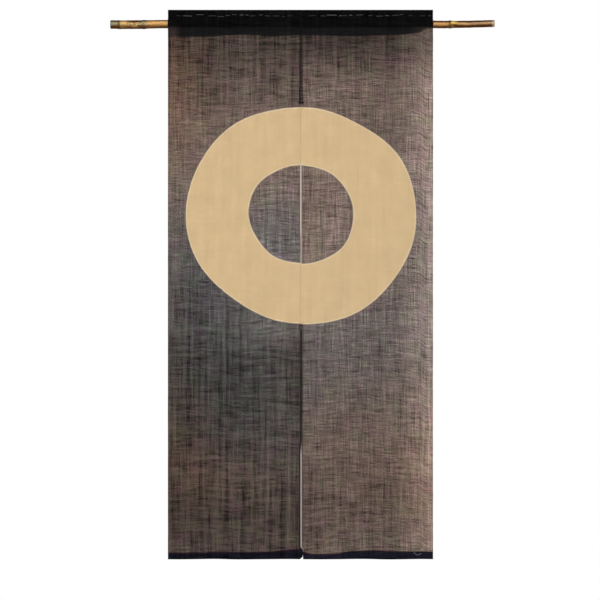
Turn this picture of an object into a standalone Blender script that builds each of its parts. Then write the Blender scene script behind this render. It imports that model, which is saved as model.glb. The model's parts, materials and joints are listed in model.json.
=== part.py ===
"""A doorway curtain (noren) of two sheer hemp panels on a bamboo rod.

Metres, +Z up. The origin is on the rod's axis, above the line where the two
panels meet, and the front of the cloth faces -Y.
"""

import math
from collections import namedtuple

import bmesh
import bpy

# Driving dimensions of the cloth
LEFT_EDGE = -0.3527          # outer edge of the left panel
RIGHT_EDGE = 0.350           # outer edge of the right panel
HEADER_TOP = 0.0379          # top fold above the rod's axis
HEM_FOOT = -1.4187           # lowest edge of both hems
CLOTH = 0.001                # thickness of the sheet
LAYER_GAP = 0.0006           # space between two layers of one fold
CLEAR = 0.0003               # space between neighbouring pieces

# Middle of a layer from the middle of its fold, and the centres of the end folds
LAYER_HALF = (CLOTH + LAYER_GAP) / 2
TOP_CENTRE = HEADER_TOP - CLOTH / 2 - LAYER_HALF
FOOT_CENTRE = HEM_FOOT + CLOTH / 2 + LAYER_HALF

# The sleeve round the rod
SLEEVE_EASE = 0.0001         # extra room, because the sleeve's round is made of flats
UPPER_FILLET = 0.008         # bend where the layers part below the header
LOWER_FILLET = 0.020         # bend where they meet again under the rod
SLEEVE_FOOT = -0.0245        # below this the front layer hangs by itself

# Driving dimensions of the rod
ROD_LEFT = -0.505            # left cut end
ROD_RIGHT = 0.513            # right cut end
BORE_SHARE = 0.60            # radius of the hollow, as a share of the culm's
DIAPHRAGM = 0.004            # wall that closes the hollow at a node
HIDDEN_RIDGE = 0.0007        # highest node ridge inside the sleeve

# Mesh steps
COLUMNS = 14                 # across a panel
FOLD_ROWS = 6                # round a fold
HEADER_ROWS = 2              # down each side of the header
FILLET_ROWS = 3              # round the bend below the header
ROUND_ROWS = 8               # round the front or back of the rod
RETURN_ROWS = 5              # from the rod to the foot of the sleeve
BODY_ROWS = 20               # from the sleeve to the hem
HEM_ROWS = 3                 # up each side of the hem
ARC_STEPS = 12               # along an arc that is then read at even steps
ROD_SIDES = 20

Node = namedtuple("Node", "x ridge")
Level = namedtuple("Level", "at value")
Fold = namedtuple("Fold", "at across depth top lean")

# Radius of the culm between its nodes: x, radius
CULM = (
    Level(-0.505, 0.0114),
    Level(-0.430, 0.0117),
    Level(-0.380, 0.0111),
    Level(0.380, 0.0103),
    Level(0.400, 0.0096),
    Level(0.513, 0.0096),
)

# Ridges of the culm, close together at its root end on the left
NODES = (
    Node(-0.482, 0.0006),
    Node(-0.416, 0.0008),
    Node(-0.325, HIDDEN_RIDGE),
    Node(-0.205, HIDDEN_RIDGE),
    Node(-0.065, HIDDEN_RIDGE),
    Node(0.085, HIDDEN_RIDGE),
    Node(0.240, HIDDEN_RIDGE),
    Node(0.395, 0.0017),
)

# One ridge: distance along the culm, and share of its height
RIDGE_PROFILE = (
    Level(-0.0050, 0.0),
    Level(-0.0018, 0.7),
    Level(0.0000, 1.0),
    Level(0.0020, 0.6),
    Level(0.0065, 0.0),
)

# Lower edge of the layer that is turned to the back: x, z
FLAP_EDGE = (
    Level(-0.262, -0.0337),
    Level(-0.160, -0.0287),
    Level(-0.135, -0.0287),
    Level(-0.070, -0.0319),
    Level(0.000, -0.0293),
    Level(0.125, -0.0316),
    Level(0.250, -0.0292),
    Level(0.272, -0.0277),
    Level(0.290, -0.0248),
    Level(0.312, -0.0228),
    Level(0.332, -0.0115),
    Level(0.350, -0.0105),
)

# Upper edge of the hem that is turned to the back: x, z
LEFT_HEM_EDGE = (
    Level(-0.250, -1.4006),
    Level(-0.230, -1.3989),
    Level(-0.095, -1.3987),
    Level(0.000, -1.3915),
)
RIGHT_HEM_EDGE = (
    Level(0.000, -1.3985),
    Level(0.027, -1.4042),
    Level(0.080, -1.4042),
    Level(0.135, -1.3972),
    Level(0.195, -1.3952),
    Level(0.310, -1.3979),
)

# Width of the slit between the panels: z, width
SLIT = (
    Level(-1.4187, 0.0040),
    Level(-1.4130, 0.0018),
    Level(-1.4020, 0.0011),
    Level(-1.0500, 0.0006),
    Level(-0.5000, 0.0009),
    Level(-0.2150, CLEAR),
    Level(0.0379, CLEAR),
)

# Soft folds that open towards the foot, depth towards +Y
LEFT_FOLDS = (
    Fold(at=-0.335, across=0.050, depth=-0.0040, top=-0.10, lean=0.004),
    Fold(at=-0.245, across=0.070, depth=0.0055, top=-0.22, lean=0.010),
    Fold(at=-0.150, across=0.075, depth=-0.0060, top=-0.30, lean=-0.006),
    Fold(at=-0.045, across=0.060, depth=0.0035, top=-0.45, lean=0.006),
)
RIGHT_FOLDS = (
    Fold(at=0.055, across=0.060, depth=-0.0035, top=-0.45, lean=-0.005),
    Fold(at=0.150, across=0.075, depth=0.0060, top=-0.26, lean=0.008),
    Fold(at=0.245, across=0.070, depth=-0.0055, top=-0.34, lean=-0.008),
    Fold(at=0.330, across=0.050, depth=0.0040, top=-0.12, lean=-0.004),
)
FOLD_RISE = 0.70             # length over which a fold reaches its depth


def clear_scene():
    for obj in list(bpy.data.objects):
        bpy.data.objects.remove(obj, do_unlink=True)


def new_collection(name):
    collection = bpy.data.collections.new(name)
    bpy.context.scene.collection.children.link(collection)
    return collection


def new_material(name, colour, roughness, metallic=0.0):
    material = bpy.data.materials.new(name)
    material.use_nodes = True
    shader = material.node_tree.nodes["Principled BSDF"]
    shader.inputs["Base Color"].default_value = (*colour, 1.0)
    shader.inputs["Roughness"].default_value = roughness
    shader.inputs["Metallic"].default_value = metallic
    return material


def new_object(name, bm, material, collection):
    mesh = bpy.data.meshes.new(name)
    bm.to_mesh(mesh)
    bm.free()
    mesh.materials.append(material)
    obj = bpy.data.objects.new(name, mesh)
    collection.objects.link(obj)
    return obj


def smoothstep(share):
    share = min(max(share, 0.0), 1.0)
    return share * share * (3.0 - 2.0 * share)


def read_level(levels, at):
    """Value of a table at one place, eased between its rows."""
    if at <= levels[0].at:
        return levels[0].value
    for low, high in zip(levels, levels[1:]):
        if at <= high.at:
            share = smoothstep((at - low.at) / (high.at - low.at))
            return low.value + (high.value - low.value) * share
    return levels[-1].value


def rod_radius(x):
    """Radius of the culm between its nodes."""
    return read_level(CULM, x)


def arc(centre, radius, start, end, steps=ARC_STEPS):
    """Points (y, z) round a centre, angles from +Y towards +Z."""
    turn = (end - start) / steps
    return [
        (centre[0] + radius * math.cos(start + turn * step),
         centre[1] + radius * math.sin(start + turn * step))
        for step in range(steps + 1)
    ]


def read_path(path, steps):
    """Points evenly spaced along a path, both its ends among them."""
    lengths = [0.0]
    for start, end in zip(path, path[1:]):
        lengths.append(lengths[-1] + math.dist(start, end))
    points = []
    for step in range(steps + 1):
        goal = lengths[-1] * step / steps
        index = 1
        while index < len(path) - 1 and lengths[index] < goal:
            index += 1
        share = (goal - lengths[index - 1]) / (lengths[index] - lengths[index - 1])
        start, end = path[index - 1], path[index]
        points.append(tuple(a + (b - a) * share for a, b in zip(start, end)))
    return points


def sleeve_bends(x):
    """Radius of the cloth round the rod, and the upper and the lower fillet.

    A fillet is the height of its centre over or under the axis, and its turn.
    """
    ring = rod_radius(x) + HIDDEN_RIDGE + CLEAR + SLEEVE_EASE + CLOTH / 2
    bends = []
    for fillet in (UPPER_FILLET, LOWER_FILLET):
        reach = LAYER_HALF + fillet
        height = math.sqrt((ring + fillet) ** 2 - reach ** 2)
        bends.append((height, math.atan2(height, reach)))
    return ring, bends


def sleeve_round(x):
    """Middle of the front layer, from the top fold to where it leaves the rod."""
    ring, ((rise, upper_turn), (drop, lower_turn)) = sleeve_bends(x)
    path = read_path([(-LAYER_HALF, TOP_CENTRE), (-LAYER_HALF, rise)], HEADER_ROWS)
    centre = (-LAYER_HALF - UPPER_FILLET, rise)
    path += arc(centre, UPPER_FILLET, 0.0, -upper_turn, FILLET_ROWS)[1:]
    path += arc((0.0, 0.0), ring, math.pi - upper_turn, math.pi + lower_turn, ROUND_ROWS)[1:]
    return path


def sleeve_return(x, foot):
    """Middle of the front layer, from the rod back to the flat at the foot given."""
    drop, turn = sleeve_bends(x)[1][1]
    centre = (-LAYER_HALF - LOWER_FILLET, -drop)
    end = math.asin(max(foot + drop, 0.0) / LOWER_FILLET)
    path = arc(centre, LOWER_FILLET, turn, end)
    if foot < path[-1][1]:
        path.append((-LAYER_HALF, foot))
    return read_path(path, RETURN_ROWS)[1:]


def section(x, hem_edge):
    """Points (y, z) of the sheet at one x, from the back flap over to the hem."""
    front = sleeve_round(x)
    back = front + sleeve_return(x, read_level(FLAP_EDGE, x))
    front += sleeve_return(x, SLEEVE_FOOT)
    hem_top = max(level.value for level in hem_edge)
    points = [(-y, z) for y, z in reversed(back)]
    points += arc((0.0, TOP_CENTRE), LAYER_HALF, 0.0, math.pi, FOLD_ROWS)[1:]
    points += front[1:]
    points += read_path([points[-1], (-LAYER_HALF, hem_top)], BODY_ROWS)[1:]
    points += read_path([points[-1], (-LAYER_HALF, FOOT_CENTRE)], HEM_ROWS)[1:]
    points += arc((0.0, FOOT_CENTRE), LAYER_HALF, math.pi, 2 * math.pi, FOLD_ROWS)[1:]
    edge = (LAYER_HALF, read_level(hem_edge, x))
    points += read_path([points[-1], edge], HEM_ROWS)[1:]
    return points


def fold_depth(x, z, folds):
    """How far the cloth stands out of its plane, towards +Y."""
    depth = 0.0
    for fold in folds:
        drop = (fold.top - z) / FOLD_RISE
        offset = (x - fold.at - fold.lean * max(drop, 0.0)) / fold.across
        if abs(offset) < 1.0:
            depth += fold.depth * smoothstep(drop) * (0.5 + 0.5 * math.cos(math.pi * offset))
    return depth


def left_sides(z):
    """Left and right edge of the left panel at one height."""
    return LEFT_EDGE, CLEAR / 2 - read_level(SLIT, z)


def right_sides(z):
    """Left and right edge of the right panel at one height."""
    return CLEAR / 2, RIGHT_EDGE


def build_panel(name, sides, hem_edge, folds, material, collection):
    """One length of cloth from a grid laid along its section, then thickened."""
    left, right = sides(0.0)
    sections = []
    for column in range(COLUMNS + 1):
        x = left + (right - left) * column / COLUMNS
        sections.append(section(x, hem_edge))
    rows = len(sections[0]) - 1
    bm = bmesh.new()
    bmesh.ops.create_grid(bm, x_segments=COLUMNS, y_segments=rows, size=0.5)
    for vert in bm.verts:
        column = round((vert.co.x + 0.5) * COLUMNS)
        row = round((vert.co.y + 0.5) * rows)
        y, z = sections[column][row]
        left, right = sides(z)
        x = left + (right - left) * column / COLUMNS
        vert.co = (x, y + fold_depth(x, z, folds), z)
    panel = new_object(name, bm, material, collection)
    panel.data.shade_smooth()
    thicken = panel.modifiers.new("cloth", "SOLIDIFY")
    thicken.thickness = CLOTH
    thicken.offset = 0.0
    thicken.use_even_offset = True


def rod_profile():
    """Outline (x, radius) of the culm from one hollow's floor to the other's."""
    bore_left = BORE_SHARE * rod_radius(ROD_LEFT)
    bore_right = BORE_SHARE * rod_radius(ROD_RIGHT)
    floor_left = NODES[0].x - DIAPHRAGM / 2
    floor_right = NODES[-1].x + DIAPHRAGM / 2
    outline = [(floor_left, 0.0), (floor_left, bore_left), (ROD_LEFT, bore_left)]
    outline.append((ROD_LEFT, rod_radius(ROD_LEFT)))
    for node in NODES:
        for along, share in RIDGE_PROFILE:
            x = node.x + along
            outline.append((x, rod_radius(x) + node.ridge * share))
    outline.append((ROD_RIGHT, rod_radius(ROD_RIGHT)))
    outline += [(ROD_RIGHT, bore_right), (floor_right, bore_right), (floor_right, 0.0)]
    return outline


def build_rod(material, collection):
    """Bamboo culm: its outline turned round the X axis."""
    bm = bmesh.new()
    verts = [bm.verts.new((x, 0.0, radius)) for x, radius in rod_profile()]
    for start, end in zip(verts, verts[1:]):
        bm.edges.new((start, end))
    rod = new_object("rod", bm, material, collection)
    turn = rod.modifiers.new("turned", "SCREW")
    turn.axis = "X"
    turn.steps = ROD_SIDES
    turn.render_steps = ROD_SIDES
    turn.use_merge_vertices = True
    turn.merge_threshold = 0.00001
    turn.use_smooth_shade = True
    turn.use_normal_flip = True


def main():
    clear_scene()
    curtain = new_collection("noren_curtain")
    hemp = new_material("hemp", (0.105, 0.082, 0.072), 0.90)
    bamboo = new_material("bamboo", (0.36, 0.22, 0.085), 0.42)
    build_panel("panel_left", left_sides, LEFT_HEM_EDGE, LEFT_FOLDS, hemp, curtain)
    build_panel("panel_right", right_sides, RIGHT_HEM_EDGE, RIGHT_FOLDS, hemp, curtain)
    build_rod(bamboo, curtain)


main()
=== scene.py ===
"""A doorway curtain (noren) of two sheer hemp panels on a bamboo rod.

Metres, +Z up. The origin is on the rod's axis, over the line where the two
panels meet, and the front of the cloth faces -Y.
"""

import json
import math
import random
from collections import namedtuple

import bmesh
import bpy
from bpy.props import FloatProperty, FloatVectorProperty, PointerProperty
from mathutils import Matrix, Vector, noise

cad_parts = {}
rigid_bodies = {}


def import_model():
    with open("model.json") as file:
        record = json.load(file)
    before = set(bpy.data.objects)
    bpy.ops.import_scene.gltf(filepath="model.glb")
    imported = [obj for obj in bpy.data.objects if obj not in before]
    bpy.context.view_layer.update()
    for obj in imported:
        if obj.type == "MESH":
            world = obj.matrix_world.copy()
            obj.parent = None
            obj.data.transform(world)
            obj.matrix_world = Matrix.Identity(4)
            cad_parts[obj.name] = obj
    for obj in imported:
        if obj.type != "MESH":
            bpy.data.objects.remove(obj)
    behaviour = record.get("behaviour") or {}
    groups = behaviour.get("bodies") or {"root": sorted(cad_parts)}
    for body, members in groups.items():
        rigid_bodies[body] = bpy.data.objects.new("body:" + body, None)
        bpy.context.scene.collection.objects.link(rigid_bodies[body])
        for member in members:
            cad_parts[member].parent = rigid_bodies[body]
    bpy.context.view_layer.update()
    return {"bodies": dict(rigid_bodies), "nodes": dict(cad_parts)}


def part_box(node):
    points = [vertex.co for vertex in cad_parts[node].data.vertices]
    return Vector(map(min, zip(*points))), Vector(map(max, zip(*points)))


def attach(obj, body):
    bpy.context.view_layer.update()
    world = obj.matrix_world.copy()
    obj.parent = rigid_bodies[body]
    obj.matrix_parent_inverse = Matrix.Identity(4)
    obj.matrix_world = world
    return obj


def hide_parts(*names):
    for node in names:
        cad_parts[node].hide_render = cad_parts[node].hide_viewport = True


bl_info = {
    "name": "Noren Curtain",
    "version": (1, 0, 0),
    "blender": (4, 5, 0),
    "location": "3D View > Sidebar > Noren",
    "description": "Builds a doorway curtain of sheer hemp on a bamboo rod",
    "category": "Add Mesh",
}

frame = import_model()
LEFT_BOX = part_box("panel_left")
RIGHT_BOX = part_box("panel_right")
ROD_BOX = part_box("rod")

Level = namedtuple("Level", "at value")
Fold = namedtuple("Fold", "at across depth top lean")
Crease = namedtuple("Crease", "x z length across depth turn")
Patch = namedtuple("Patch", "x z across down tone warmth leaf", defaults=(0.0,))
Strip = namedtuple("Strip", "z colour strength width")
Joint = namedtuple("Joint", "x ridge")
Skin = namedtuple("Skin", "x colour mottle smoke gleam fall")
Dash = namedtuple("Dash", "start end rise shine")
Wave = namedtuple("Wave", "turns cosine sine")
Panel = namedtuple("Panel", "piece node outer inner hem_edge folds creases tone patches strips lap")


def table(kind, *rows):
    """A table whose rows are all of one kind."""
    return tuple(kind(*row) for row in rows)


# Directions across and out of the cloth
RIGHTWARDS = Vector((1, 0, 0))
UPWARDS = Vector((0, 0, 1))
FRONT = Vector((0, -1, 0))
BACK = Vector((0, 1, 0))

# Outer lines of the cloth
EDGE_INSET = 0.0002
LEFT_EDGE = LEFT_BOX[0].x + EDGE_INSET
RIGHT_EDGE = RIGHT_BOX[1].x - EDGE_INSET
HEADER_TOP = LEFT_BOX[1].z
HEM_FOOT = LEFT_BOX[0].z

# Middle of the cloth from its own fold, from the rod's skin and from the outer lines
LAYER_HALF = 0.0008
SLEEVE_ROOM = 0.0016
EDGE_ROOM = 0.0006
TOP_CENTRE = HEADER_TOP - EDGE_ROOM - LAYER_HALF
FOOT_CENTRE = HEM_FOOT + EDGE_ROOM + LAYER_HALF
UPPER_FILLET = 0.008  # bend where the layers part below the header
LOWER_FILLET = 0.020  # bend where they meet again under the rod
SLEEVE_FOOT = -0.0245  # below this the front layer hangs by itself

# Rod
ROD_LEFT = ROD_BOX[0].x
ROD_RIGHT = ROD_BOX[1].x
UV_RADIUS = 0.0105  # radius that the culm's UV map is laid out on
BORE_SHARE = 0.60  # radius of the hollow, as a share of the culm's
CUT_SOFT = 0.0015  # how far the rims of the cut ends are worn
DIAPHRAGM = 0.004  # wall that closes the hollow at a joint

# Middle of the picture
VIEW_X = -0.00265
VIEW_Z = -0.7314

# Steps of the fine sheets
COLUMNS = 88
FOLD_ROWS = 8
HEADER_ROWS = 8
FILLET_ROWS = 5
ROUND_ROWS = 14
RETURN_ROWS = 8
BODY_ROWS = 344
HEM_ROWS = 5
ARC_STEPS = 24

# Steps along the rod: at a joint, where it shows between them, and inside the sleeve
JOINT_STEP = 0.0008
SHOWN_STEP = 0.0025
HIDDEN_STEP = 0.008
ROD_SIDES = 56

# Lower edge of the layer that is turned to the back: x, z
FLAP_EDGE = table(
    Level, (-0.262, -0.0337), (-0.16, -0.0287), (-0.135, -0.0287), (-0.07, -0.0319),
    (0.0, -0.0293), (0.125, -0.0316), (0.25, -0.0292), (0.272, -0.0277), (0.29, -0.0248),
    (0.312, -0.0228), (0.332, -0.0115), (0.35, -0.0105),
)

# Upper edge of the hem that is turned to the back: x, z
LEFT_HEM_EDGE = table(
    Level, (-0.25, -1.4006), (-0.23, -1.3989), (-0.095, -1.3987), (0.0, -1.3915),
)
RIGHT_HEM_EDGE = table(
    Level, (0.0, -1.3985), (0.027, -1.4042), (0.08, -1.4042), (0.135, -1.3972), (0.195, -1.3952),
    (0.31, -1.3979),
)

# Inner edges of the panels: z, x. From below the ring to the hem the left one laps the right.
LEFT_INNER = table(
    Level, (-1.4187, -0.004), (-1.4165, -0.0005), (-1.414, 0.003), (-1.411, 0.0047),
    (-1.407, 0.005), (-1.3925, 0.0044), (-1.386, -0.0016), (-1.13, -0.0016), (-1.095, 0.0004),
    (-0.83, 0.0004), (-0.8, -0.0001), (-0.23, -0.0001), (-0.208, -0.00003), (0.0379, -0.00003),
)
RIGHT_INNER = table(
    Level, (-1.4187, 0.0056), (-1.411, 0.0051), (-1.407, 0.0051), (-1.3925, 0.0044),
    (-1.386, -0.0019), (-1.13, -0.0019), (-1.095, 0.0001), (-0.23, 0.0001), (-0.208, 0.00003),
    (0.0379, 0.00003),
)

# Soft folds that open towards the foot: x, half width, depth towards +Y, top, lean
LEFT_FOLDS = table(
    Fold,
    (-0.335, 0.05, -0.004, -0.1, 0.004), (-0.245, 0.07, 0.0055, -0.22, 0.01),
    (-0.15, 0.075, -0.006, -0.3, -0.006), (-0.045, 0.06, 0.0035, -0.45, 0.006),
)
RIGHT_FOLDS = table(
    Fold,
    (0.055, 0.06, -0.0035, -0.45, -0.005), (0.15, 0.075, 0.006, -0.26, 0.008),
    (0.245, 0.07, -0.0055, -0.34, -0.008), (0.33, 0.05, 0.004, -0.12, -0.004),
)
FOLD_RISE = 0.70  # length over which a fold reaches its depth

# Slight creases: middle, half length, half width, depth, turn from upright in degrees
LEFT_CREASES = table(
    Crease,
    (-0.285, -0.17, 0.11, 0.014, 0.0009, 8), (-0.2, -0.1, 0.05, 0.01, -0.0007, -14),
    (-0.11, -0.15, 0.08, 0.013, 0.0008, -5), (-0.32, -0.62, 0.16, 0.016, 0.001, -3),
    (-0.215, -0.98, 0.06, 0.02, 0.0009, 84), (-0.11, -1.12, 0.13, 0.015, -0.0009, 6),
    (-0.29, -1.25, 0.09, 0.014, 0.001, -7), (-0.06, -1.33, 0.05, 0.01, 0.0008, 12),
)
RIGHT_CREASES = table(
    Crease,
    (0.07, -0.12, 0.07, 0.012, -0.0008, 10), (0.185, -0.16, 0.1, 0.014, 0.0009, -6),
    (0.3, -0.26, 0.13, 0.013, -0.0009, 4), (0.12, -0.9, 0.11, 0.016, 0.0009, 7),
    (0.24, -1.03, 0.055, 0.02, -0.0008, 88), (0.06, -1.2, 0.1, 0.013, 0.0009, -9),
    (0.2, -1.27, 0.11, 0.015, -0.001, 5), (0.31, -1.34, 0.05, 0.01, 0.0008, -12),
)

# Strength of the dye down each panel: z, brightness against the ground colour
LEFT_TONE = table(
    Level, (-1.4, 0.5), (-1.3, 0.42), (-1.2, 0.54), (-0.9, 0.5), (-0.78, 0.7), (-0.6, 0.96),
    (-0.4, 1.06), (-0.27, 0.9), (-0.17, 0.68), (-0.04, 0.4),
)
RIGHT_TONE = table(
    Level, (-1.4, 0.92), (-1.3, 0.82), (-1.1, 1.0), (-0.89, 1.0), (-0.78, 1.22), (-0.55, 1.48),
    (-0.4, 1.38), (-0.27, 1.08), (-0.17, 1.0), (-0.04, 0.34),
)

# Uneven spots of the dye: middle, half sizes, then how bright, warm and green against the rest
LEFT_PATCHES = table(
    Patch,
    (-0.345, -0.14, 0.09, 0.22, 0.16, 0.75), (-0.06, -0.42, 0.14, 0.16, 0.22, 0.0),
    (-0.12, -0.27, 0.1, 0.07, 0.16, 0.0), (-0.25, -0.92, 0.17, 0.3, -0.14, -0.95),
    (-0.08, -0.95, 0.18, 0.22, 0.04, -0.65), (-0.06, -0.67, 0.13, 0.1, 0.34, -0.1),
    (-0.05, -0.8, 0.12, 0.08, 0.4, -0.2), (-0.11, -0.15, 0.08, 0.07, 0.18, 0.0),
    (-0.32, -1.16, 0.1, 0.2, -0.12, 0.25), (-0.2, -1.2, 0.16, 0.1, 0.02, 0.3),
    (-0.27, -0.62, 0.1, 0.16, -0.06, -0.55), (-0.06, -0.57, 0.1, 0.11, 0.0, -0.75),
    (-0.18, -0.93, 0.2, 0.12, 0.05, 0.2, 0.8), (-0.215, -0.1, 0.13, 0.06, -0.1, 0.0),
    (-0.02, -0.09, 0.05, 0.05, -0.14, 0.0), (-0.09, -0.27, 0.06, 0.05, 0.12, 0.0),
    (-0.335, -0.93, 0.03, 0.12, 0.14, 0.0), (-0.3, -1.12, 0.1, 0.15, 0.02, 0.55),
    (-0.14, -1.21, 0.12, 0.06, 0.05, 0.15),
)
RIGHT_PATCHES = table(
    Patch,
    (0.12, -0.84, 0.22, 0.16, 0.0, -0.55), (0.01, -0.9, 0.05, 0.12, -0.14, -0.3),
    (0.2, -0.2, 0.14, 0.1, -0.06, 0.05), (0.24, -0.6, 0.12, 0.18, -0.06, -0.1),
    (0.16, -1.2, 0.14, 0.14, -0.08, 0.22), (0.32, -1.22, 0.08, 0.2, 0.02, 0.3),
    (0.04, -1.32, 0.07, 0.09, -0.06, 0.1), (0.33, -0.56, 0.12, 0.24, -0.26, -0.2),
    (0.1, -0.18, 0.14, 0.05, 0.14, 0.0), (0.335, -0.05, 0.05, 0.03, 0.26, 0.0),
    (0.29, -0.135, 0.04, 0.02, -0.1, 0.0), (0.02, -0.5, 0.05, 0.16, -0.13, 0.1),
    (0.05, -0.11, 0.09, 0.04, -0.09, 0.0), (0.345, -0.78, 0.03, 0.08, -0.08, 0.0),
)

# Green of the deepest dye, and how much more the palest has
DEEP_DYE = 0.048
PALE_DYE = 0.060

# The right selvedge lets more light through: where it starts, how far it reaches, how much
SELVEDGE_START = 0.235
SELVEDGE_REACH = 0.105
SELVEDGE_GLOW = 0.78
LAST_THREADS = 0.333  # the last threads of the right selvedge are paler still
LAST_GLOW = 0.20

# Narrow strip along each inner edge: z, colour, share of it that shows, width
INK = (0.012, 0.010, 0.011)
CREAM = (0.610, 0.514, 0.434)
PINK_CREAM = (0.400, 0.340, 0.298)
AMBER = (0.640, 0.425, 0.205)
LEFT_STRIPS = table(
    Strip,
    (-1.398, INK, 0.98, 0.0034), (-1.34, INK, 0.97, 0.0034), (-1.3, INK, 0.82, 0.0034),
    (-1.12, INK, 0.72, 0.0034), (-1.08, INK, 0.7, 0.003), (-0.8, INK, 0.62, 0.0028),
    (-0.79, AMBER, 0.12, 0.005), (-0.64, AMBER, 0.12, 0.005), (-0.634, CREAM, 0.65, 0.0012),
    (-0.568, CREAM, 0.65, 0.0012), (-0.548, CREAM, 0.95, 0.0022), (-0.373, CREAM, 0.95, 0.0022),
    (-0.367, AMBER, 0.12, 0.005), (-0.225, AMBER, 0.12, 0.005), (-0.215, INK, 0.3, 0.0026),
    (0.038, INK, 0.3, 0.0026),
)
RIGHT_STRIPS = table(
    Strip,
    (-1.394, PINK_CREAM, 0.1, 0.0039), (-1.387, PINK_CREAM, 0.98, 0.0039),
    (-1.14, PINK_CREAM, 0.95, 0.0039), (-1.105, INK, 0.45, 0.003), (-1.0, INK, 0.62, 0.003),
    (-0.8, INK, 0.7, 0.0032), (-0.79, AMBER, 0.3, 0.01), (-0.64, AMBER, 0.3, 0.01),
    (-0.634, CREAM, 0.75, 0.0013), (-0.568, CREAM, 0.75, 0.0013), (-0.548, CREAM, 0.85, 0.0013),
    (-0.373, CREAM, 0.85, 0.0013), (-0.367, AMBER, 0.3, 0.01), (-0.225, AMBER, 0.3, 0.01),
    (-0.215, INK, 0.3, 0.0026), (0.038, INK, 0.3, 0.0026),
)

LEFT = Panel("cloth_left", "panel_left", LEFT_EDGE, LEFT_INNER, LEFT_HEM_EDGE, LEFT_FOLDS,
             LEFT_CREASES, LEFT_TONE, LEFT_PATCHES, LEFT_STRIPS, -0.00032)
RIGHT = Panel("cloth_right", "panel_right", RIGHT_EDGE, RIGHT_INNER, RIGHT_HEM_EDGE, RIGHT_FOLDS,
              RIGHT_CREASES, RIGHT_TONE, RIGHT_PATCHES, RIGHT_STRIPS, 0.00032)
LAP_WIDTH = 0.012  # width of the inner edge that moves aside for the lap
INNER_FLAT = 0.020  # the folds run out this far from the inner edge

# How the hand-cut resist leaves the round: waves of its outer and inner rim
OUTER_WAVES = table(
    Wave, (1, 0.0006, -0.0025), (2, 0.0096, -0.0033), (3, -0.0001, 0.0016), (4, 0.0007, 0.0022),
    (5, -0.0002, -0.0004), (6, -0.0003, 0.0009), (7, -0.0003, -0.0008), (8, -0.0002, -0.0011),
)
INNER_WAVES = table(
    Wave, (1, 0.0008, -0.0004), (2, 0.0047, -0.0015), (3, -0.0001, 0.0003), (4, -0.0004, -0.001),
    (5, -0.0005, 0.0004), (8, 0.0002, 0.0006),
)
SEAM_STEP = 0.0022  # the rim sits this much higher on the left panel, at its foot

# Radius of the culm between its joints: x, radius
CULM = table(
    Level, (-0.505, 0.0114), (-0.43, 0.0117), (-0.38, 0.0111), (0.38, 0.0103), (0.4, 0.0096),
    (0.513, 0.0096),
)

# The culm is slightly crooked: x, height of its middle over the axis
BEND = table(
    Level, (-0.505, -0.0014), (-0.47, -0.002), (-0.43, -0.0016), (-0.38, -0.0006), (-0.33, 0.0),
    (0.23, 0.0), (0.34, -0.0008), (0.372, -0.0014), (0.405, -0.0012), (0.44, -0.0006),
    (0.475, 0.0003), (0.513, 0.0013),
)

# Ridges of the culm, close together at its root end on the left
JOINTS = table(
    Joint, (-0.482, 0.0006), (-0.416, 0.0008), (-0.325, 0.0007), (-0.205, 0.0007),
    (-0.065, 0.0007), (0.085, 0.0007), (0.24, 0.0007), (0.395, 0.0017),
)
RIDGE_PROFILE = table(
    Level, (-0.0065, 0.0), (-0.004, 0.12), (-0.0024, 0.62), (-0.0012, 0.95), (-0.0003, 0.55),
    (0.0004, 0.35), (0.0012, 0.85), (0.0022, 1.0), (0.0038, 0.5), (0.008, 0.0),
)

# Skin of the culm along the rod: colour, how blotched it is, how dark its upper and lower lines of
# painted shade are, how high on its side the painted highlight between them lies, and how far below
# it the painted shade begins
OLIVE = (0.290, 0.275, 0.155)
GOLD = (0.610, 0.395, 0.140)
TAN = (0.510, 0.350, 0.150)
HONEY = (0.690, 0.400, 0.140)
AMBERED = (0.620, 0.340, 0.120)
# Golden skin painted brighter beside the right joint: a painted highlight
JOINT_HIGHLIGHT = (0.800, 0.500, 0.130)
COPPER = (0.620, 0.355, 0.140)
BEIGE = (0.480, 0.305, 0.160)
UMBER = (0.090, 0.060, 0.028)
BLEACHED = (0.560, 0.440, 0.310)
SKIN = table(
    Skin,
    (-0.505, OLIVE, 0.3, 1.0, 0.22, 0.85), (-0.487, OLIVE, 0.4, 1.0, 0.22, 0.85),
    (-0.482, UMBER, 0.4, 1.0, 0.3, 0.9), (-0.477, GOLD, 0.2, 0.85, 0.35, 1.0),
    (-0.462, GOLD, 0.4, 0.9, 0.35, 1.0), (-0.452, TAN, 0.9, 1.0, 0.2, 1.0),
    (-0.44, GOLD, 0.8, 1.0, 0.05, 1.05), (-0.428, TAN, 1.0, 1.0, 0.15, 1.0),
    (-0.416, OLIVE, 0.8, 1.0, 0.25, 0.95), (-0.404, HONEY, 0.4, 0.9, 0.28, 0.9),
    (-0.385, HONEY, 0.3, 0.95, 0.3, 1.05), (-0.36, HONEY, 0.3, 0.95, 0.3, 1.0),
    (0.35, AMBERED, 0.2, 0.95, 0.12, 0.85), (0.388, AMBERED, 0.3, 1.0, 0.14, 0.8),
    (0.394, UMBER, 0.5, 0.9, 0.1, 0.8), (0.399, JOINT_HIGHLIGHT, 0.1, 0.85, 0.4, 0.7),
    (0.409, JOINT_HIGHLIGHT, 0.2, 1.0, 0.38, 0.6), (0.415, COPPER, 0.3, 1.0, 0.16, 0.58),
    (0.436, COPPER, 0.4, 1.0, 0.08, 0.55), (0.445, BEIGE, 0.4, 1.0, 0.05, 0.55),
    (0.503, BEIGE, 0.3, 1.0, 0.12, 0.55), (0.508, BLEACHED, 0.2, 0.6, 0.1, 0.6),
    (0.513, BLEACHED, 0.2, 0.3, 0.1, 0.6),
)
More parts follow.
